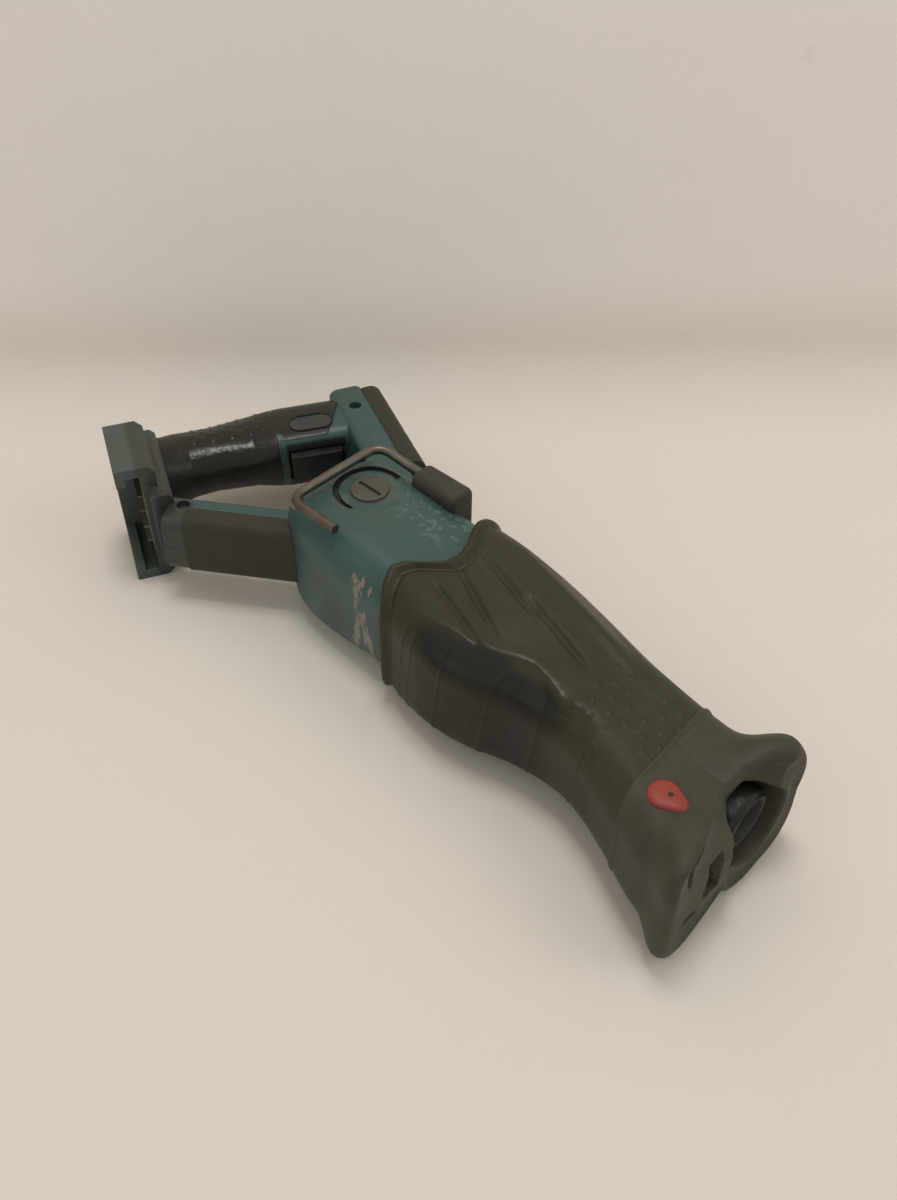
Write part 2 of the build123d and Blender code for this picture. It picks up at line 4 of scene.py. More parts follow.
import bmesh
import bpy
import numpy as np
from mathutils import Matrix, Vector


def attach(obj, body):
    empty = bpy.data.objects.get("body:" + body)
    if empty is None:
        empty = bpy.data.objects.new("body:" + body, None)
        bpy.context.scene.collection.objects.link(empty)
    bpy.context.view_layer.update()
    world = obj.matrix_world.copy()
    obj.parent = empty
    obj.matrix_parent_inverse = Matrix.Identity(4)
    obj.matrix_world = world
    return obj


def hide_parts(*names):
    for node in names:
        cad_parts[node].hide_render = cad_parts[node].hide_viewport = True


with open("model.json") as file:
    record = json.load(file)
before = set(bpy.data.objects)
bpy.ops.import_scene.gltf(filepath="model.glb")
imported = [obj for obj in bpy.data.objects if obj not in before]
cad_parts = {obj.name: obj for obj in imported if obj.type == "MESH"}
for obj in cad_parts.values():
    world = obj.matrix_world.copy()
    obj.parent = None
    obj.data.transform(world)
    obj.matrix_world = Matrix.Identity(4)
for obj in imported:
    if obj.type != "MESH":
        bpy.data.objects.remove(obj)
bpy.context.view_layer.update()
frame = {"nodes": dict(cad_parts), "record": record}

# Work is done in drawing millimetres: x along the blade line, y to the tool's top, z to its
# right side, which is up as it lies. MIDDLE is where the row's origin lies in that drawing.
MIDDLE = np.array([52.18, 16.54, -39.5])
GROUND_Z = -39.5
# the nose opening, the plane of the guard's front and the shoe's flat bar
BORE_RADIUS = 21.0
GUARD_FRONT = 258.5
SHOE_BAR_Y = -33.5
# parts of the handle that lie at an angle: x and y of an origin, and degrees
GRIP_FRAME = (-98.0, 55.6, 60.0)
FOOT_FRAME = (-123.5, -54.0, -27.0)
STRUT_FRAME = (-86.0, -53.0, 34.0)
GRIP_ORIGIN = np.array(GRIP_FRAME[:2])
GRIP_ANGLE = math.radians(GRIP_FRAME[2])
# middle of the brush cap, seen from the side
CAP_PLACE = (-3, 15)


# ---- placing and meshes ----
def row(points):
    """Drawing millimetres to metres in the row frame."""
    return (np.asarray(points, float) - MIDDLE) / 1000.0


def grip_point(along, back, z):
    """Point in the drawing from the grip's own directions."""
    ux, uy = math.cos(GRIP_ANGLE), math.sin(GRIP_ANGLE)
    x = GRIP_ORIGIN[0] + along * ux - back * uy
    y = GRIP_ORIGIN[1] + along * uy + back * ux
    return (x, y, z)


def add_mesh(name, points, faces, material):
    """Smooth mesh object from drawing millimetres."""
    mesh = bpy.data.meshes.new(name)
    mesh.from_pydata([tuple(p) for p in row(points)], [], faces)
    mesh.validate()
    mesh.shade_smooth()
    obj = bpy.data.objects.new(name, mesh)
    bpy.context.scene.collection.objects.link(obj)
    obj.data.materials.append(material)
    return obj


def tube_faces(rows, columns):
    """Quads of a grid that closes on itself across its columns."""
    faces = []
    for r in range(rows - 1):
        for c in range(columns):
            a = r * columns + c
            b = r * columns + (c + 1) % columns
            faces.append((a, b, b + columns, a + columns))
    return faces


def grid_object(name, grid, material, cap_ends=False):
    """Object from a grid of drawing points, closed round its columns, normals outwards."""
    rows, columns = grid.shape[:2]
    points = grid.reshape(-1, 3)
    faces = tube_faces(rows, columns)
    if cap_ends:
        points = np.vstack([points, grid[0].mean(0), grid[-1].mean(0)])
        first, last = rows * columns, rows * columns + 1
        for c in range(columns):
            d = (c + 1) % columns
            faces.append((first, d, c))
            faces.append((last, (rows - 1) * columns + c, (rows - 1) * columns + d))
    obj = add_mesh(name, points, faces, material)
    edit = bmesh.new()
    edit.from_mesh(obj.data)
    bmesh.ops.recalc_face_normals(edit, faces=edit.faces)
    edit.to_mesh(obj.data)
    edit.free()
    return obj


def stand_for(obj, body, slot, *nodes):
    """The piece rides a body and replaces CAD nodes; the slot is not used."""
    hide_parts(*nodes)
    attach(obj, body)
    return obj


def bump_at(value, centre, width):
    """Smooth hump of height 1."""
    return np.exp(-((value - centre) / width) ** 2)


def ease(value, start, end):
    """0 before start, 1 after end, smooth between."""
    t = np.clip((value - start) / (end - start), 0, 1)
    return t * t * (3 - 2 * t)


# ---- material building ----
class Nodes:
    """Short way to build one material's node tree."""

    def __init__(self, name):
        self.material = bpy.data.materials.new(name)
        self.material.use_nodes = True
        self.tree = self.material.node_tree
        self.shader = self.tree.nodes["Principled BSDF"]
        coordinates = self.tree.nodes.new("ShaderNodeTexCoord")
        self.place = coordinates.outputs["Object"]
        self.split = None

    def link(self, source, socket):
        """Puts a number, a colour or another node's output into a socket."""
        if isinstance(source, (int, float)):
            socket.default_value = source
        elif isinstance(source, tuple):
            socket.default_value = (*source, 1.0)[: len(socket.default_value)]
        else:
            self.tree.links.new(source, socket)

    def noise(self, scale, detail=4.0, stretch=None, roughness=0.55):
        """Noise, stretched by a rotation and a scale if they are given."""
        node = self.tree.nodes.new("ShaderNodeTexNoise")
        node.inputs["Scale"].default_value = scale
        node.inputs["Detail"].default_value = detail
        node.inputs["Roughness"].default_value = roughness
        place = self.place
        if stretch is not None:
            mapping = self.tree.nodes.new("ShaderNodeMapping")
            mapping.inputs["Rotation"].default_value = stretch[0]
            mapping.inputs["Scale"].default_value = stretch[1]
            self.link(place, mapping.inputs["Vector"])
            place = mapping.outputs["Vector"]
        self.link(place, node.inputs["Vector"])
        return node.outputs["Fac"]

    def ramp(self, source, low, high):
        """0 below low, 1 above high."""
        node = self.tree.nodes.new("ShaderNodeMapRange")
        node.interpolation_type = "SMOOTHSTEP"
        node.inputs["From Min"].default_value = low
        node.inputs["From Max"].default_value = high
        self.link(source, node.inputs["Value"])
        return node.outputs["Result"]

    def math(self, operation, a, b=0.0, clamp=False):
        node = self.tree.nodes.new("ShaderNodeMath")
        node.operation = operation
        node.use_clamp = clamp
        self.link(a, node.inputs[0])
        self.link(b, node.inputs[1])
        return node.outputs[0]

    def times(self, a, b):
        return self.math("MULTIPLY", a, b)

    def invert(self, a):
        """One minus the value."""
        return self.math("SUBTRACT", 1.0, a)

    def mix(self, amount, a, b):
        """Colour a, or b where the amount is 1."""
        node = self.tree.nodes.new("ShaderNodeMix")
        node.data_type = "RGBA"
        self.link(amount, node.inputs["Factor"])
        self.link(a, node.inputs[6])
        self.link(b, node.inputs[7])
        return node.outputs[2]

    def coordinate(self, axis, origin=0.0):
        """Drawing coordinate in millimetres along x, y or z."""
        if self.split is None:
            node = self.tree.nodes.new("ShaderNodeSeparateXYZ")
            self.link(self.place, node.inputs[0])
            self.split = node.outputs
        value = self.times(self.split["XYZ".index(axis)], 1000.0)
        return self.math("ADD", value, float(MIDDLE["XYZ".index(axis)]) - origin)

    def spot(self, x, y, radius_x, radius_y, soft=0.35):
        """Mask of an ellipse seen along z."""
        a = self.math("DIVIDE", self.coordinate("X", x), radius_x)
        b = self.math("DIVIDE", self.coordinate("Y", y), radius_y)
        square = self.math("ADD", self.times(a, a), self.times(b, b))
        return self.invert(self.ramp(square, 1.0 - soft, 1.0 + soft))

    def tilted(self, x, y, angle):
        """Distances along and across a direction in the drawing's x-y plane."""
        c, s = math.cos(math.radians(angle)), math.sin(math.radians(angle))
        dx, dy = self.coordinate("X", x), self.coordinate("Y", y)
        along = self.math("ADD", self.times(dx, c), self.times(dy, s))
        across = self.math("ADD", self.times(dx, -s), self.times(dy, c))
        return along, across

    def edge(self, radius):
        """Mask of the sharp outer edges."""
        bevel = self.tree.nodes.new("ShaderNodeBevel")
        bevel.samples = 4
        bevel.inputs["Radius"].default_value = radius
        geometry = self.tree.nodes.new("ShaderNodeNewGeometry")
        dot = self.tree.nodes.new("ShaderNodeVectorMath")
        dot.operation = "DOT_PRODUCT"
        self.link(bevel.outputs[0], dot.inputs[0])
        self.link(geometry.outputs["Normal"], dot.inputs[1])
        return self.ramp(self.invert(dot.outputs["Value"]), 0.02, 0.2)

    def finish(self, colour, roughness, relief=(), metallic=0.0, rounding=None, **extra):
        """Wires colour, roughness and a chain of bumps: each is (height, distance)."""
        self.link(colour, self.shader.inputs["Base Color"])
        self.link(roughness, self.shader.inputs["Roughness"])
        self.shader.inputs["Metallic"].default_value = metallic
        for key, value in extra.items():
            self.shader.inputs[key.replace("_", " ")].default_value = value
        normal = None
        if rounding:
            bevel = self.tree.nodes.new("ShaderNodeBevel")
            bevel.samples = 6
            bevel.inputs["Radius"].default_value = rounding
            normal = bevel.outputs[0]
        for height, distance in relief:
            bump = self.tree.nodes.new("ShaderNodeBump")
            bump.inputs["Strength"].default_value = 1.0
            bump.inputs["Distance"].default_value = distance
            self.link(height, bump.inputs["Height"])
            if normal is not None:
                self.link(normal, bump.inputs["Normal"])
            normal = bump.outputs["Normal"]
        if normal is not None:
            self.link(normal, self.shader.inputs["Normal"])
        return self.material


def scratches(n, angle, scale=60.0, amount=0.66):
    """Thin scuffs along one direction."""
    lines = n.noise(scale, 3.0, ((0, 0, angle), (1.0, 14.0, 6.0)))
    patches = n.noise(14.0, 3.0)
    return n.times(n.ramp(lines, amount, amount + 0.05), n.ramp(patches, 0.5, 0.62))


def teal_plastic():
    """Moulded teal shell: grime, chalky scuffs, pale worn edges, a worn label patch, a rubbed
    patch partly painted as sheen, and painted shade round the cap and behind the trigger.
    """
    n = Nodes("teal_shell")
    body = n.mix(n.noise(25, 5), (0.0245, 0.069, 0.061), (0.040, 0.100, 0.083))
    grime = n.ramp(n.noise(9, 8, roughness=0.7), 0.45, 0.66)
    body = n.mix(n.times(grime, 0.6), body, (0.066, 0.072, 0.056))
    edge = n.edge(0.0014)
    body = n.mix(n.times(edge, 0.35), body, (0.15, 0.19, 0.17))
    scuff = n.math("MAXIMUM", scratches(n, 0.5), scratches(n, -0.9, 90.0))
    # the rubbed patch behind the boot's lip is partly wear and partly painted sheen: paler, and
    # also less rough
    rub_and_sheen = n.times(n.spot(38, 22, 24, 15, 0.8), n.ramp(n.noise(260, 6), 0.54, 0.62))
    chalk_and_sheen = n.math("MAXIMUM", n.times(scuff, 0.3), n.times(rub_and_sheen, 0.2))
    body = n.mix(chalk_and_sheen, body, (0.33, 0.37, 0.33))
    # grey dust in the ring round the brush cap and over the battery foot
    ring = n.times(n.spot(*CAP_PLACE, 20.5, 20.5, 0.1), n.ramp(n.noise(70, 6), 0.4, 0.62))
    body = n.mix(n.times(ring, 0.45), body, (0.13, 0.135, 0.115))
    foot = n.times(n.spot(-126, -57, 40, 30, 0.4), n.math("ADD", 0.45, n.times(grime, 0.4)))
    body = n.mix(foot, body, (0.088, 0.083, 0.066))
    # nearly black: the foot's crown and the corner of the lower strut; painted shade in the groove
    # round the cap
    crown = n.ramp(n.tilted(*FOOT_FRAME)[1], -2.0, 1.5)
    near_foot = n.spot(-122, -45, 36, 26, 0.15)
    body = n.mix(n.times(n.times(crown, near_foot), 0.8), body, (0.038, 0.038, 0.03))
    along, across = n.tilted(*STRUT_FRAME)
    corner = n.times(n.ramp(along, -13.0, -9.0), n.invert(n.ramp(along, 7.0, 9.0)))
    corner = n.times(corner, n.invert(n.ramp(across, 4.0, 5.5)))
    body = n.mix(n.times(corner, 0.85), body, (0.03, 0.028, 0.021))
    # painted shade: the groove round the cap is darkened nearly to black on its rear half only
    outer = n.spot(*CAP_PLACE, 20.2, 20.2, 0.02)
    groove_shade = n.math("SUBTRACT", outer, n.spot(*CAP_PLACE, 16.4, 16.4, 0.02))
    groove_shade = n.times(groove_shade, n.invert(n.ramp(n.coordinate("X"), -1.0, 3.0)))
    body = n.mix(n.times(groove_shade, 0.85), body, (0.018, 0.016, 0.012))
    # painted shade: the recess behind the trigger is darkened almost to black, inside a thin teal
    # rim
    along, across = n.tilted(*GRIP_FRAME)
    recess_shade = n.times(n.ramp(along, -20.5, -19.0), n.invert(n.ramp(along, 15.0, 17.0)))
    recess_shade = n.times(recess_shade, n.invert(n.ramp(across, -18.5, -17.0)))
    recess_shade = n.times(recess_shade, n.ramp(across, -27.0, -24.5))
    low_side = n.invert(n.ramp(n.math("ABSOLUTE", n.coordinate("Z")), 13.5, 15.5))
    body = n.mix(n.times(n.times(recess_shade, low_side), 0.92), body, (0.012, 0.012, 0.01))
    # what is left of a label, flaked and blank
    side = n.invert(n.ramp(n.coordinate("Z"), 27.0, 30.0))
    label = n.times(n.spot(38, -34, 8.0, 12, 0.25), side)
    flakes = n.ramp(n.noise(260, 6, ((0, 0, 0), (1, 1, 0.22))), 0.5, 0.57)
    body = n.mix(n.times(n.times(label, flakes), 0.8), body, (0.27, 0.22, 0.19))
    rough = n.math("ADD", 0.38, n.times(grime, 0.25))
    rough = n.math("SUBTRACT", rough, n.times(rub_and_sheen, 0.22), clamp=True)
    relief = ((n.noise(900, 2), 0.00012), (n.noise(120, 4), 0.00025), (scuff, -0.0001))
    return n.finish(body, rough, relief, rounding=0.001)


def dark_rubber(name, base, dust=0.35, rough=0.5, grain=500, glossy=None, dark=(), glint_place=None):
    """Brown-black rubber with dust, rub marks and moulding grain.

    Each place is (x, y, radius x, radius y): glossy shines, dark is a tuple of places painted
    darker as shade, and flecks places pale dots painted as glints and turns on a painted highlight
    along the shoulder.
    """
    n = Nodes(name)
    lighter = tuple(c * 1.7 for c in base)
    body = n.mix(n.noise(30, 5), base, lighter)
    patches = n.ramp(n.noise(12, 8, roughness=0.7), 0.46, 0.7)
    body = n.mix(n.times(patches, dust), body, (0.088, 0.08, 0.056))
    scuff = n.math("MAXIMUM", scratches(n, 0.7, 70.0), scratches(n, -0.4, 50.0))
    body = n.mix(n.times(scuff, 0.22), body, (0.2, 0.18, 0.14))
    edge = n.edge(0.001)
    body = n.mix(n.times(edge, 0.12), body, (0.12, 0.112, 0.09))
    # painted shade: each dark place is darkened nearly to black
    for place in dark:
        body = n.mix(n.times(n.spot(*place, 0.8), 0.8), body, (0.006, 0.0055, 0.0035))
    if glint_place is not None:
        # painted highlights: pale glints among the raised dots, and a long pale highlight on the
        # shoulder ridge
        dot_glints = n.times(n.spot(*glint_place, 0.6), n.ramp(n.noise(430, 2), 0.68, 0.74))
        along, across = n.tilted(138, 29, -14)
        long_way = n.math("POWER", n.math("DIVIDE", along, 34.0), 2.0)
        short_way = n.math("POWER", n.math("DIVIDE", across, 3.4), 2.0)
        ellipse = n.math("ADD", long_way, short_way)
        shoulder_highlight = n.times(n.invert(n.ramp(ellipse, 0.1, 1.2)), 0.4)
        body = n.mix(n.math("MAXIMUM", n.times(dot_glints, 0.5), shoulder_highlight), body, (0.17, 0.16, 0.125))
    roughness = n.math("ADD", rough, n.times(patches, 0.22))
    if glossy is not None:
        shine = n.spot(*glossy, 0.7)
        roughness = n.math("SUBTRACT", roughness, n.times(shine, 0.12), clamp=True)
    relief = ((n.noise(grain, 3), 0.00015), (n.noise(70, 4), 0.0005), (scuff, -0.0001))
    return n.finish(body, roughness, relief, rounding=0.0008, Specular_IOR_Level=0.3)


TARNISH_TINT = (0.12, 0.09, 0.06)


def metal(name, colour, rough, tarnish=0.4, lines=(8, 1, 1)):
    """Bare metal with tarnish and fine machining lines."""
    n = Nodes(name)
    stain = n.ramp(n.noise(60, 6), 0.45, 0.68)
    body = n.mix(n.times(stain, tarnish), colour, TARNISH_TINT)
    turned = n.noise(200, 2, ((0, 0, 0), lines))
    roughness = n.math("ADD", rough, n.times(stain, 0.25))
    return n.finish(body, roughness, ((turned, 0.00006), (n.noise(400, 3), 0.00008)), metallic=1.0)


def plastic(name, base, rough=0.45, dust=0.2, mark=None):
    """Plain moulded part with dust and fine grain, and a small dark mark if one is given."""
    n = Nodes(name)
    patches = n.ramp(n.noise(40, 6), 0.48, 0.7)
    body = n.mix(n.noise(60, 4), base, tuple(c * 1.5 for c in base))
    body = n.mix(n.times(patches, dust), body, (0.14, 0.125, 0.1))
    if mark is not None:
        body = n.mix(n.spot(*mark, 0.3), body, (0.02, 0.015, 0.012))
    roughness = n.math("ADD", rough, n.times(patches, 0.2))
    relief = ((n.noise(700, 3), 0.0001), (scratches(n, 0.3), -0.0001))
    return n.finish(body, roughness, relief, rounding=0.0006, Specular_IOR_Level=0.35)


SLOT_MATERIALS = {
    "housing_shell": teal_plastic(),
    "grip_rubber": dark_rubber(
        "grip_rubber", (0.013, 0.012, 0.0085), dust=0.18, rough=0.3, glossy=(-107, 3, 30, 24)),
    "pad_rubber": dark_rubber("pad_rubber", (0.028, 0.0255, 0.016), dust=0.55, rough=0.55),
    # the boot's dark places are painted shade in the hollow under each brow; its pale dots and the
    # pale line on its shoulder are painted highlights
    "boot_rubber": dark_rubber(
        "boot_rubber", (0.025, 0.021, 0.0095), dust=0.3, rough=0.42, glossy=(130, -30, 46, 16),
        dark=((106, -39, 20, 8), (130, -33, 20, 9), (152, -30, 16, 7)), glint_place=(192, -6, 30, 22)),
    "flange_plastic": dark_rubber("guard_rubber", (0.037, 0.0335, 0.022), dust=0.6, rough=0.48),
    "bumper_plastic": dark_rubber(
        "bumper_rubber", (0.036, 0.031, 0.024), dust=0.7, rough=0.6, grain=300),
    "hook_wire": metal("hook_wire", (0.17, 0.155, 0.13), 0.36, tarnish=0.65),
    "cap_plastic": plastic("cap_plastic", (0.07, 0.065, 0.048), 0.6, 0.55),
    "trigger_plastic": plastic("trigger_plastic", (0.012, 0.012, 0.012), 0.25, 0.1),
    "lock_plastic": plastic("lock_plastic", (0.035, 0.033, 0.028), 0.45, 0.3),
    "button_orange": plastic(
        "button_orange", (0.235, 0.036, 0.024), 0.42, 0.3, mark=(229, -32.8, 1.3, 1.3)),
    "sleeve_plastic": plastic("sleeve_plastic", (0.012, 0.0115, 0.0095), 0.45, 0.3),
    "terminal_plastic": plastic("terminal_plastic", (0.22, 0.20, 0.165), 0.5, 0.4),
    "switch_plastic": plastic("switch_plastic", (0.02, 0.02, 0.02)),
    "fan_plastic": plastic("fan_plastic", (0.02, 0.02, 0.02)),
    "carbon": plastic("carbon", (0.02, 0.02, 0.02), 0.6, 0.1),
    "board": plastic("board", (0.02, 0.11, 0.04), 0.35, 0.1),
    "seal_rubber": plastic("seal_rubber", (0.015, 0.015, 0.015), 0.6, 0.1),
    "screw_steel": metal("screw_steel", (0.22, 0.21, 0.2), 0.45),
    "can_steel": metal("can_steel", (0.45, 0.45, 0.45), 0.35),
    "magnet": metal("magnet", (0.12, 0.12, 0.12), 0.6),
    "brass_parts": metal("brass_parts", (0.6, 0.43, 0.17), 0.35),
    "spring_steel": metal("spring_steel", (0.4, 0.4, 0.4), 0.35),
    "shaft_steel": metal("shaft_steel", (0.5, 0.5, 0.5), 0.25, lines=(1, 8, 8)),
    "lamination": metal("lamination", (0.25, 0.25, 0.26), 0.5, lines=(30, 1, 1)),
    "copper": metal("copper", (0.65, 0.28, 0.14), 0.35),
    "gear_steel": metal("gear_steel", (0.3, 0.3, 0.31), 0.35),
    "bearing_steel": metal("bearing_steel", (0.55, 0.55, 0.55), 0.22, tarnish=0.1),
    "cast_aluminium": metal("cast_aluminium", (0.45, 0.45, 0.45), 0.55, tarnish=0.2),
    "bronze": metal("bronze", (0.5, 0.33, 0.15), 0.4),
    "clamp_steel": metal("clamp_steel", (0.12, 0.115, 0.11), 0.4),
}
slot_of = {entry["node"]: entry["material_slot"] for entry in frame["record"]["subparts"]}
for node_name, node in frame["nodes"].items():
    material = SLOT_MATERIALS[slot_of[node_name]]
    node.data.materials.clear()
    node.data.materials.append(material)
tarnished = metal("tarnished_blades", (0.2, 0.18, 0.15), 0.5, tarnish=0.6)
frame["nodes"]["terminal_blades"].data.materials[0] = tarnished


# ---- rubber boot and nose guard, one continuous skin in two pieces ----
# sections of the skin: x, lowest y, highest y, half width and corner radius
STATIONS = np.array([
    (40, -36.0, 48.5, 38.0, 20), (58, -37.5, 49.0, 38.0, 20), (80, -42.0, 48.5, 37.8, 20),
    (100, -44.5, 46.5, 37.0, 20), (120, -42.5, 43.5, 36.0, 20), (145, -35.5, 38.5, 34.5, 20),
    (172, -34.5, 33.0, 32.0, 20), (190, -39.0, 30.0, 30.5, 19), (210, -47.5, 27.0, 29.5, 18),
    (232, -58.0, 25.0, 29.0, 17), (248, -61.5, 25.0, 30.0, 17), (262, -62.0, 25.0, 30.0, 17),
])
COLUMNS = 320
PHI = np.linspace(0, 2 * math.pi, COLUMNS, endpoint=False)
# x between which the skin's radii are worked out, and x where its heights are read for the seam
SKIN_START, SKIN_END = 42, 262
SEAM_X = 214.0


def station_at(x):
    """Section numbers at x on a smooth curve through the stations."""
    xs = STATIONS[:, 0]
    i = int(np.clip(np.searchsorted(xs, x) - 1, 1, len(xs) - 3))
    p0, p1, p2, p3 = STATIONS[i - 1], STATIONS[i], STATIONS[i + 1], STATIONS[i + 2]
    step = p2[0] - p1[0]
    t = (x - p1[0]) / step
    m1 = (p2 - p0) / (p2[0] - p0[0]) * step
    m2 = (p3 - p1) / (p3[0] - p1[0]) * step
    a, b = 2 * t**3 - 3 * t**2 + 1, t**3 - 2 * t**2 + t
    c, d = -2 * t**3 + 3 * t**2, t**3 - t**2
    return a * p1 + b * m1 + c * p2 + d * m2


def polar_section(x):
    """Radius from the blade axis at each angle in PHI, for the rounded section at x."""
    _, low, high, half, corner = station_at(x)
    arc = np.linspace(0, math.pi / 2, 30)
    middle = (low + high) / 2
    half_y = (high - low) / 2
    loop = []
    for turn, (sy, sz) in enumerate(((1, 1), (-1, 1), (-1, -1), (1, -1))):
        cy, cz = middle + sy * (half_y - corner), sz * (half - corner)
        angles = arc if turn % 2 == 0 else arc[::-1]
        loop += [(cy + sy * corner * math.cos(a), cz + sz * corner * math.sin(a)) for a in angles]
    loop = np.array(loop)
    fine = []
    for k in range(len(loop)):
        t = np.linspace(0, 1, 8, endpoint=False)[:, None]
        fine.append(loop[k] * (1 - t) + loop[(k + 1) % len(loop)] * t)
    fine = np.vstack(fine)
    angle = np.mod(np.arctan2(fine[:, 1], fine[:, 0]), 2 * math.pi)
    order = np.argsort(angle)
    radius = np.hypot(fine[:, 0], fine[:, 1])
    return np.interp(PHI, angle[order], radius[order], period=2 * math.pi)


def around(pairs):
    """Value at each angle in PHI, smooth through (degrees, value) pairs."""
    degrees = np.array([p[0] for p in pairs], float)
    values = np.array([p[1] for p in pairs], float)
    turns = np.degrees(PHI)
    result = np.interp(turns, degrees, values, period=360)
    kernel = np.array([1, 2, 3, 2, 1]) / 9.0
    padded = np.concatenate([result[-2:], result, result[:2]])
    return np.convolve(padded, kernel, "valid")


# rear lip: x of its edge at each height y, furthest back at -20 and furthest forward at 8
LIP_HEIGHTS = [-46, -37, -30, -20, -12, -5, 0, 8, 17, 25, 33, 40, 50]
LIP_PLACES = [59, 58, 53, 49, 53, 61, 66, 68.5, 65.5, 61, 57.5, 56, 58]
# long flutes in each side: first and last x, and their y there
FLUTES = ((74, 118, 20, 6), (75, 112, 2, -16), (74, 106, -15, -25), (112, 152, 12, 0))
# brow over the glossy hollow in each side: y at each x
BROW_PLACES = [68, 92, 112, 126, 134, 141, 150, 162, 169]
BROW_HEIGHTS = [-34, -31, -28, -23.5, -19, -17, -19, -23.5, -22]
# scallops along the top: where one starts, and the length of each
SCALLOP_X, SCALLOP_LENGTH = 96, 27.0
# moulded lines across the belly, by their x in the middle
BELLY_LINES = (75, 82, 103, 130, 156, 182)
# the deepest that the relief may go, and how sharply it gets there
RELIEF_LIMIT, RELIEF_SHARPNESS = 2.6, 1.6


def seam_place(y):
    """Where the boot ends and the guard begins, at each height."""
    return np.interp(y, [-62, -54, -42, 20, 30], [220, 217.5, 213.5, 210.5, 210])


def boot_relief(x, y, z, from_lip):
    """How far the boot's skin stands out, in millimetres."""
    side = ease(np.abs(z), 22, 30)
    top = ease(y, 24, 33) * (1 - ease(np.abs(z), 15, 20))
    out = 2.3 * bump_at(from_lip, 2.4, 2.6) - 0.8 * bump_at(from_lip, 7.5, 1.6)
    for x0, x1, y0, y1 in FLUTES:
        line = y0 + (x - x0) / (x1 - x0) * (y1 - y0)
        reach = ease(x, x0 - 6, x0 + 8) * (1 - ease(x, x1 - 4, x1 + 14))
        out -= 2.2 * side * reach * bump_at(y, line, 2.1)
    # shoulder ridge beside the top strip
    ridge = 39.0 - (x - 72) * 0.25
    out += (1.2 * ease(x, 70, 90) * (1 - ease(x, 165, 185))
            * bump_at(y, ridge, 3.5) * ease(np.abs(z), 14, 24))
    # glossy hollow in the middle of each side, its brow and the knob at the brow's front end
    brow = np.interp(x, BROW_PLACES, BROW_HEIGHTS)
    reach = ease(x, 86, 106) * (1 - ease(x, 152, 172))
    out -= 2.3 * side * reach * bump_at(y, brow - 10, 8.5)
    out += 1.0 * side * ease(x, 70, 82) * (1 - ease(x, 160, 176)) * bump_at(y, brow, 4.2)
    out += 1.5 * bump_at(x, 171, 5) * bump_at(y, -21, 5) * side
    # shallow valley between neck and belly
    valley = -34 - (x - 170) * 0.2
    out -= 1.8 * ease(x, 165, 180) * (1 - ease(x, 205, 216)) * bump_at(y, valley, 5) * side
    scallops = np.abs(np.sin((x - SCALLOP_X) / SCALLOP_LENGTH * math.pi)) ** 0.6
    out += top * ease(x, 80, 90) * (1 - ease(x, 200, 212)) * 1.6 * scallops
    belly = ease(-y, 18, 30) * (1 - ease(np.abs(z), 30, 34))
    for place in BELLY_LINES:
        bend = place + 4.0 * np.sin(z / 30.0)
        out += 0.45 * belly * bump_at(x, bend, 0.9)
    # small raised dots near the guard
    for i in range(6):
        for j in range(5):
            px, py = 169 + i * 9.2 + (j % 2) * 4.6, -22 + j * 7.6
            out += 0.85 * side * bump_at(x, px, 1.0) * bump_at(y, py, 1.0)
    # the gear case lies 3 mm under the skin, so the relief flattens out softly above it
    lifted = (out + RELIEF_LIMIT) * RELIEF_SHARPNESS
    return -RELIEF_LIMIT + np.log1p(np.exp(lifted)) / RELIEF_SHARPNESS


def boot_grid():
    """Points of the boot from its lip to the guard, and the skin's radius at any x."""
    rows = []
    y_ref = polar_section(60) * np.cos(PHI)
    lip = np.interp(y_ref, LIP_HEIGHTS, LIP_PLACES)
    section_steps = {x: polar_section(x) for x in range(SKIN_START, SKIN_END)}

    def radius_at(xs):
        lower = np.clip(np.floor(xs).astype(int), SKIN_START, SKIN_END - 2)
        share = xs - lower
        a = np.array([section_steps[k][i] for i, k in enumerate(lower)])
        b = np.array([section_steps[k + 1][i] for i, k in enumerate(lower)])
        return a * (1 - share) + b * share

    # the rim turns in onto the housing
    base = radius_at(lip)
    for drop, ahead in ((3.6, 5.0), (3.4, 1.2), (2.2, 0.3)):
        r = base - drop
        rows.append(np.stack([lip + ahead, r * np.cos(PHI), r * np.sin(PHI)], 1))
    seam = seam_place(radius_at(np.full(COLUMNS, SEAM_X)) * np.cos(PHI))
    for s in np.linspace(0, 1, 300) ** 1.05:
        xs = lip + (seam - lip) * s
        r = radius_at(xs)
        y, z = r * np.cos(PHI), r * np.sin(PHI)
        r = r + boot_relief(xs, y, z, xs - lip)
        rows.append(np.stack([xs, r * np.cos(PHI), r * np.sin(PHI)], 1))
    last = rows[-1].copy()
    last[:, 1:] *= 0.95
    last[:, 0] += 0.6
    rows.append(last)
    grid = np.array(rows)
    grid[:, :, 2] = np.maximum(grid[:, :, 2], GROUND_Z)
    return grid, radius_at


boot_points, skin_radius = boot_grid()
boot = grid_object("boot_skin", boot_points, SLOT_MATERIALS["boot_rubber"])
stand_for(boot, "frame", "boot_rubber", "rubber_boot")


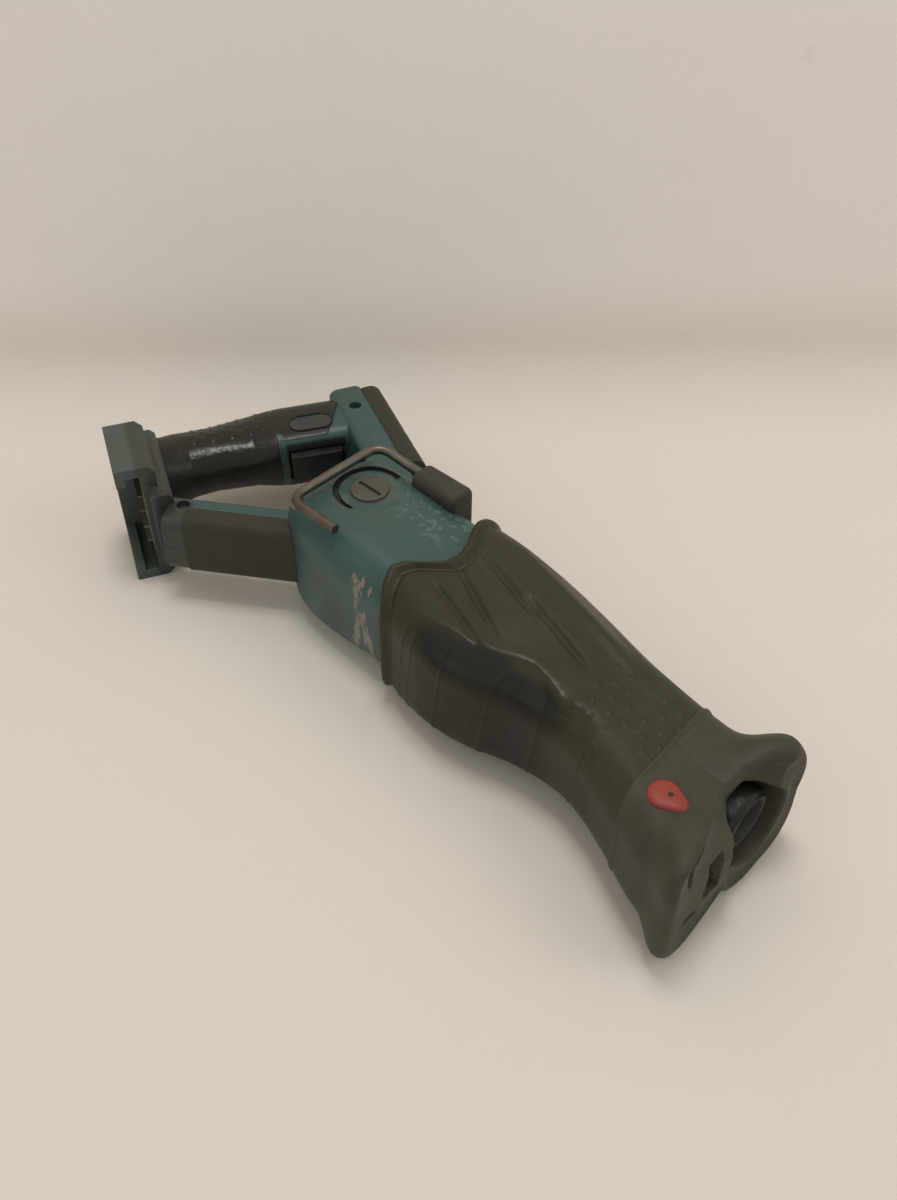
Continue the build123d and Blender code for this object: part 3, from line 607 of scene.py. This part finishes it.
# guard outline at its front: degrees from the top, and distance from the blade axis
OUTLINE = (
    (0, 34), (20, 38.5), (36, 41.5), (48, 43.5), (56, 42), (66, 38), (78, 33), (92, 30.3),
    (110, 30.3), (119, 32.5), (126, 35.5), (134, 41), (142, 52), (150, 65), (156, 70), (164, 70),
    (172, 68), (180, 67), (190, 68.5), (200, 71.5), (208, 71.5), (214, 65), (221, 51), (229, 38),
    (238, 35), (250, 39.3), (262, 40), (276, 40), (288, 41.2), (300, 45.6), (310, 47.5), (320, 45),
    (332, 40.5), (345, 36),
)
# x of the guard's front at each angle
FRONT = (
    (0, GUARD_FRONT), (35, GUARD_FRONT), (55, 257), (72, 249), (88, 244.5), (118, 244),
    (136, 249), (150, 256), (170, GUARD_FRONT), (215, GUARD_FRONT), (240, 257),
    (270, GUARD_FRONT), (320, GUARD_FRONT),
)
# shallow stand-ins for the lobe's curved openings: middle y and z, half sizes and tilt
SLOTS = (
    (-49.5, 29.5, 5.5, 1.9, 0.0), (-55.0, 23.0, 1.9, 8.0, 0.1), (-48.0, -16.0, 6.5, 1.9, -0.37),
)
SLOT_DEPTH = 4.0
SHOE_BAR_DEPTH = 34.0


def guard_grid():
    """Points of the guard: out from the boot, over its edge, across its face and into the bore."""
    outline = around(OUTLINE)
    front = around(FRONT)
    seam = seam_place(skin_radius(np.full(COLUMNS, SEAM_X)) * np.cos(PHI))
    rows = []
    start = skin_radius(seam)
    for inset, ahead in ((3.0, -2.0), (0.4, -0.5)):
        r = start - inset
        rows.append(np.stack([seam + ahead, r * np.cos(PHI), r * np.sin(PHI)], 1))
    turns = np.degrees(PHI)
    # rounding of the front edge, largest on the ears and the lobe
    edge = (3.2 + 4.5 * bump_at(turns, 50, 20) + 2.0 * bump_at(turns, 205, 16)
            + 1.5 * bump_at(turns, 310, 18))
    late = 0.28 * bump_at(turns, 178, 42)
    for s in np.linspace(0, 1, 90):
        xs = seam + (front - edge - seam) * s
        r = skin_radius(xs)
        flare = ease(s, 0.25 + late, 1.0) ** 1.7
        r = r * (1 - flare) + outline * flare + 0.9 * (1 - ease(s, 0.02, 0.10))
        rows.append(np.stack([xs, r * np.cos(PHI), r * np.sin(PHI)], 1))
    for turn in np.linspace(0.15, 1, 8) * math.pi / 2:
        r = outline - edge * (1 - math.cos(turn))
        xs = front - edge + edge * math.sin(turn)
        rows.append(np.stack([xs, r * np.cos(PHI), r * np.sin(PHI)], 1))
    inner = BORE_RADIUS + 1.5
    outer = outline - edge
    for s in np.linspace(0, 1, 64)[1:]:
        r = outer + (inner - outer) * s
        y, z = r * np.cos(PHI), r * np.sin(PHI)
        xs = front - 1.5 * np.sin(s * math.pi) * ease(outer - inner, 2, 12)
        dip = np.zeros(COLUMNS)
        for cy, cz, ry, rz, tilt in SLOTS:
            a = (y - cy) * math.cos(tilt) + (z - cz) * math.sin(tilt)
            b = -(y - cy) * math.sin(tilt) + (z - cz) * math.cos(tilt)
            dip = np.maximum(dip, 1 - ease((a / ry) ** 2 + (b / rz) ** 2, 0.7, 1.2))
        # the shoe's flat bar goes in here
        bar = (1 - ease(np.abs(y - SHOE_BAR_Y), 4.0, 5.2)) * (1 - ease(np.abs(z), 11.6, 12.7))
        rows.append(np.stack([xs - np.maximum(SLOT_DEPTH * dip, SHOE_BAR_DEPTH * bar), y, z], 1))
    bore = ((0.6, inner - 0.9), (2.0, BORE_RADIUS), (20.0, BORE_RADIUS), (44.0, BORE_RADIUS))
    for drop, radius in bore:
        r = np.full(COLUMNS, radius)
        rows.append(np.stack([front - drop, r * np.cos(PHI), r * np.sin(PHI)], 1))
    grid = np.array(rows)
    grid[:, :, 2] = np.maximum(grid[:, :, 2], GROUND_Z)
    return grid


guard = grid_object("nose_guard", guard_grid(), SLOT_MATERIALS["flange_plastic"])
stand_for(guard, "frame", "flange_plastic", "nose_flange")


# ---- shoe release button: a domed drop ----
BUTTON_PLACE = (226.4, -33.5)
BUTTON_RADIUS = 7.5
BUTTON_TIP = 4.6
# share of the outline, and z
BUTTON_PROFILE = (
    (1.0, 25.6), (1.0, 29.2), (0.96, 30.1), (0.85, 30.8), (0.6, 31.2), (0.3, 31.4), (0.08, 31.4),
)


def drop_button():
    """Button with a round back and a tip towards the blade."""
    x0, y0 = BUTTON_PLACE
    count = 72
    turn = np.linspace(0, 2 * math.pi, count, endpoint=False)
    radius = BUTTON_RADIUS + BUTTON_TIP * np.maximum(np.cos(turn), 0) ** 7
    rows = []
    for share, height in BUTTON_PROFILE:
        x = x0 + radius * share * np.cos(turn)
        y = y0 + radius * share * np.sin(turn)
        rows.append(np.stack([x, y, np.full(count, height)], 1))
    material = SLOT_MATERIALS["button_orange"]
    return grid_object("release_button", np.array(rows), material, cap_ends=True)


button = drop_button()
stand_for(button, "shoe_lock", "button_orange", "shoe_lock_button")


# ---- blade clamp sleeve with a twisted ridge ----
SLEEVE_START, SLEEVE_END = 224.0, 252.0
SLEEVE_BORE = 11.5
SLEEVE_RADIUS = 15.6
RIDGE_HEIGHT = 1.9
RIDGE_COUNT = 3
# radians that the ridges turn by in each millimetre
RIDGE_TWIST = 0.035
# x and radius of the mouth, from its rim inwards
SLEEVE_MOUTH = ((252.6, 13.0), (252.0, 12.0), (246.0, 11.4), (240.0, 11.4))


def twist_sleeve():
    """Sleeve with twisted ridges, open at its mouth."""
    count = 144
    turn = np.linspace(0, 2 * math.pi, count, endpoint=False)

    def ring(x, r):
        return np.stack([np.full(count, x), r * np.cos(turn), r * np.sin(turn)], 1)

    rows = [ring(SLEEVE_START, SLEEVE_BORE)]
    for x in np.linspace(SLEEVE_START, SLEEVE_END, 60):
        ridge = np.maximum(np.cos(RIDGE_COUNT * (turn - x * RIDGE_TWIST)), 0) ** 2
        rear = 0.12 * (1 - ease(x, SLEEVE_START, SLEEVE_START + 3))
        shoulder = 1 - rear - 0.14 * ease(x, SLEEVE_END - 3, SLEEVE_END)
        rows.append(ring(x, (SLEEVE_RADIUS + RIDGE_HEIGHT * ridge) * shoulder))
    rows += [ring(x, r) for x, r in SLEEVE_MOUTH]
    return grid_object("twist_sleeve", np.array(rows), SLOT_MATERIALS["sleeve_plastic"])


sleeve = twist_sleeve()
stand_for(sleeve, "clamp_sleeve", "sleeve_plastic", "clamp_sleeve")


# ---- grip cover: rubber from a flared collar at the foot up round the back of the trigger ----
# sections: distance along the grip, middle, half depth, half width and how square they are
COVER = np.array([
    (-95, -11.2, 21.0, 22.0, 2.4), (-90, -9.0, 21.4, 20.6, 2.2), (-84, -6.2, 22.2, 19.2, 2.1),
    (-76, -4.4, 21.8, 18.2, 2.0), (-62, -3.0, 21.3, 17.8, 2.0), (-38, -1.5, 23.3, 18.3, 2.2),
    (-26, -2.2, 22.9, 19.3, 2.8), (-18, -2.5, 22.8, 19.4, 3.2), (30, -2.5, 22.8, 19.4, 3.2),
])
COVER_START = -95
# where the closed part ends and the part behind the trigger begins
COVER_SPLIT = -24.5
COVER_COLUMNS = 250
COVER_SIDE_LIMIT = 39.0
# the part behind the trigger reaches this many radians to each side of the grip's back
HAND_TURN = 2.22
# oval hole for the lock-off: middle along and back, half its straight length, and its radius
LOCK_HOLE = (-2.0, -9.0, 6.5, 6.7)
# points nearer to the hole's edge than this move onto it
SNAP_REACH = 0.34
# the cover's raised dots push away from this line, in the grip's back direction
DOT_CENTRE = -2.0


def cover_section(along, turn):
    """Back and side distances of the cover at each angle from the back of the hand."""
    numbers = [np.interp(along, COVER[:, 0], COVER[:, k]) for k in range(1, 5)]
    centre, depth, width, power = numbers
    c, s = np.cos(turn), np.sin(turn)
    back = centre + depth * np.sign(c) * np.abs(c) ** (2 / power)
    side = width * np.sign(s) * np.abs(s) ** (2 / power)
    return back, side


def cover_dots(along, back, side):
    """Small raised dots on each side of the grip."""
    out = np.zeros_like(back)
    face = ease(np.abs(side), 11, 14)
    for i in range(8):
        for j in range(4):
            pu, pv = -72 + i * 5.6, -8 + j * 6.0 + (i % 2) * 3.0
            out += 0.55 * face * bump_at(along, pu, 0.9) * bump_at(back, pv, 0.9)
    return out


def cover_points(along, turn, inset):
    """Back and side distances with the dots raised and the inset taken off."""
    back, side = cover_section(along, turn)
    raised = cover_dots(along, back, side) - inset
    reach = back - DOT_CENTRE
    size = np.hypot(reach, side)
    return back + raised * reach / size, side + raised * side / size


def cover_rows(stations):
    """Grid of drawing points from (along, turn, inset) rows."""
    grid = []
    for along, turn, inset in stations:
        back, side = cover_points(along, turn, inset)
        grid.append(np.stack(grip_point(along, back, side), 1))
    return np.array(grid)


def grip_sleeve():
    """Closed part of the cover, below the trigger."""
    turn = np.linspace(0, 2 * math.pi, COVER_COLUMNS, endpoint=False)
    places = np.linspace(COVER_START, COVER_SPLIT, 130)
    steps = [(np.full(COVER_COLUMNS, u), turn, 0.0) for u in places]
    steps.append((np.full(COVER_COLUMNS, COVER_SPLIT + 0.4), turn, 0.6))
    steps.append((np.full(COVER_COLUMNS, COVER_SPLIT + 0.4), turn, 3.0))
    grid = cover_rows(steps)
    grid[:, :, 2] = np.clip(grid[:, :, 2], -COVER_SIDE_LIMIT, COVER_SIDE_LIMIT)
    obj = grid_object("grip_cover", grid, SLOT_MATERIALS["grip_rubber"])
    return stand_for(obj, "frame", "grip_rubber", "grip_sleeve")


def hand_cover():
    """Open part of the cover behind the trigger, with an oval hole for the lock-off button."""
    columns = 220
    turn = np.linspace(-HAND_TURN, HAND_TURN, columns)
    back = cover_section(np.full(columns, 0.0), turn)[0]
    top = np.interp(back, [-20, -17, -13, 18.5, 21], [5.0, 7.5, 9.5, 22.0, 23.0])
    steps = []
    for t in np.linspace(0, 1, 90):
        steps.append((COVER_SPLIT + (top - COVER_SPLIT) * t, turn, 0.0))
    steps.append((top + 0.3, turn, 0.4))
    steps.append((top + 0.3, turn, 1.6))
    grid = cover_rows(steps)
    points = grid.reshape(-1, 3).copy()
    # own directions of each point, to cut the oval
    dx, dy = points[:, 0] - GRIP_ORIGIN[0], points[:, 1] - GRIP_ORIGIN[1]
    ux, uy = math.cos(GRIP_ANGLE), math.sin(GRIP_ANGLE)
    u, v = dx * ux + dy * uy, -dx * uy + dy * ux
    middle_u, middle_v, half, radius = LOCK_HOLE
    near = middle_u + np.clip(u - middle_u, -half, half)
    gap_u, gap_v = u - near, v - middle_v
    distance = np.hypot(gap_u, gap_v)
    flank = np.abs(points[:, 2]) > 12
    snap = flank & (np.abs(distance - radius) < SNAP_REACH)
    share = np.where(snap, radius / np.maximum(distance, 1e-6), 1.0)
    u, v = near + gap_u * share, middle_v + gap_v * share
    points[:, 0], points[:, 1] = grip_point(u, v, 0)[:2]
    inside = flank & (distance < radius) & ~snap
    faces = []
    for r in range(len(steps) - 1):
        for c in range(columns - 1):
            a = r * columns + c
            quad = (a, a + 1, a + columns + 1, a + columns)
            if not inside[list(quad)].any():
                faces.append(quad)
    obj = add_mesh("hand_cover", points, faces, SLOT_MATERIALS["grip_rubber"])
    edit = bmesh.new()
    edit.from_mesh(obj.data)
    loose = [vert for vert in edit.verts if not vert.link_faces]
    bmesh.ops.delete(edit, geom=loose, context="VERTS")
    bmesh.ops.recalc_face_normals(edit, faces=edit.faces)
    edit.to_mesh(obj.data)
    edit.free()
    return stand_for(obj, "frame", "grip_rubber", "back_pad")


grip_sleeve()
hand_cover()


# ---- camera, floor, backdrop and light ----
camera_data = bpy.data.cameras.new("camera")
camera_data.lens = 34.43
camera_data.clip_start = 0.01
camera = bpy.data.objects.new("camera", camera_data)
camera.location = (0.3051, -0.3235, 0.4645)
camera.rotation_euler = tuple(math.radians(a) for a in (45.674, -0.377, 43.512))
bpy.context.scene.collection.objects.link(camera)
bpy.context.scene.camera = camera


# the sheet in metres: half its width, strips across it, and the bend where it leaves the floor
SHEET_HALF_WIDTH = 3.0
SHEET_STRIPS = 40
BEND_START = 0.010
BEND_RADIUS = 0.055
BEND_STEPS = 12
BEND_ANGLE = math.radians(80)


def cloth_stage():
    """Pale sheet on the floor that rises behind the tool, and hides it from behind."""
    n = Nodes("pale_sheet")
    tone = n.mix(n.noise(1.6, 4), (0.78, 0.725, 0.65), (0.825, 0.77, 0.695))
    # painted light: the sheet turns paler as it rises into the backdrop, standing in for the light
    # on the wall
    tone = n.mix(n.ramp(n.coordinate("Z"), 0.0, 60.0), tone, (0.9, 0.845, 0.78))
    marks = n.times(n.ramp(n.noise(28, 8), 0.7, 0.8), 0.25)
    tone = n.mix(marks, tone, (0.5, 0.45, 0.39))
    material = n.finish(tone, 0.85, ((n.noise(5, 3), 0.003), (n.noise(900, 2), 0.0001)))
    away = Vector((-0.71, 0.704, 0)).normalized()
    across = Vector((away.y, -away.x, 0))
    start = Vector((-0.106, 0.113, 0)) + away * 0.015
    profile = [(-3.0, 0.0)]
    for k in range(BEND_STEPS + 1):
        a = k / BEND_STEPS * BEND_ANGLE
        along = BEND_START + BEND_RADIUS * math.sin(a)
        profile.append((along, BEND_RADIUS - BEND_RADIUS * math.cos(a)))
    profile.append((0.5, 2.6))
    edit = bmesh.new()
    lines = []
    widths = np.linspace(-SHEET_HALF_WIDTH, SHEET_HALF_WIDTH, SHEET_STRIPS + 1)
    for along, height in profile:
        middle = start + away * along
        up = Vector((0, 0, height))
        lines.append([edit.verts.new(middle + across * w + up) for w in widths])
    for a, b in zip(lines, lines[1:]):
        for i in range(SHEET_STRIPS):
            edit.faces.new((a[i], a[i + 1], b[i + 1], b[i]))
    bmesh.ops.recalc_face_normals(edit, faces=edit.faces)
    mesh = bpy.data.meshes.new("sheet_stage")
    edit.to_mesh(mesh)
    edit.free()
    mesh.shade_smooth()
    obj = bpy.data.objects.new("sheet_stage", mesh)
    obj.data.materials.append(material)
    bpy.context.scene.collection.objects.link(obj)


cloth_stage()


def area_light(name, place, size, power, colour):
    """Round lamp that points at the row's origin."""
    data = bpy.data.lights.new(name, "AREA")
    data.shape = "DISK"
    data.size = size
    data.energy = power
    data.color = colour
    obj = bpy.data.objects.new(name, data)
    obj.location = place
    direction = -Vector(place)
    obj.rotation_euler = direction.to_track_quat("-Z", "Y").to_euler()
    bpy.context.scene.collection.objects.link(obj)


area_light("ceiling", (-0.05, 0.05, 1.8), 0.5, 8.5, (1.0, 0.98, 0.94))
area_light("window", (1.2, 0.6, 1.3), 0.9, 3, (1.0, 0.98, 0.94))
area_light("front", (-0.3, -1.3, 1.3), 1.1, 1.5, (1.0, 0.98, 0.95))
world = bpy.data.worlds.new("room")
world.use_nodes = True
world.node_tree.nodes["Background"].inputs["Color"].default_value = (1.0, 0.975, 0.94, 1)
world.node_tree.nodes["Background"].inputs["Strength"].default_value = 0.46
bpy.context.scene.world = world
bpy.context.scene.view_settings.view_transform = "Standard"
